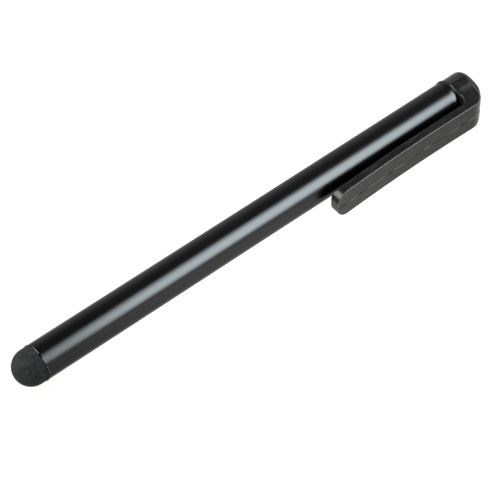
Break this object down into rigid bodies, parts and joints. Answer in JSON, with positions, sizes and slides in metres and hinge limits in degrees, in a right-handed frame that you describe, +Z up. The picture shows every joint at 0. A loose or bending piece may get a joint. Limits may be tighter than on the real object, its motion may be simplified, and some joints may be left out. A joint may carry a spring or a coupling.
{
  "type": "stylus pen",
  "caption": "Slim passive touch-screen stylus: a black metal tube with a soft rubber dome at the tip and a plastic end cap moulded with a flat spring clip.",
  "frame": {"origin": "on the tube's axis, half way along the tube", "axes": "+X along the tube from the rubber dome to the rear cap; +Z up as the pen lies on a table; the clip points to -Y and droops until its lower edge is level with the tube's rear lip"},
  "size_m": [0.1058, 0.0111, 0.0074],
  "materials": {
    "anodised_tube": "satin black anodised",
    "tip_rubber": "matt black conductive rubber",
    "turned_bush": "turned, bare",
    "clip_plastic": "satin black moulded plastic"
  },
  "bodies": {
    "barrel": {"barrel_tube": "anodised_tube", "tip_bush": "turned_bush", "rear_cap": "clip_plastic"},
    "clip": {"clip_arm": "clip_plastic"},
    "tip": {"tip_dome": "tip_rubber"}
  },
  "joints": [
    {"name": "clip_flex", "type": "hinge", "parent": "barrel", "child": "clip", "pos_m": [0.04635, -0.00569, -0.00048], "axis": [0, -0.0832, 0.9965], "range_deg": [0, 5], "stiffness_Nm_per_rad": 0.55},
    {"name": "tip_press", "type": "slide", "parent": "barrel", "child": "tip", "axis": [1, 0, 0], "range_m": [0, 0.001], "stiffness_N_per_m": 400, "deforming": ["tip_dome"]}
  ]
}
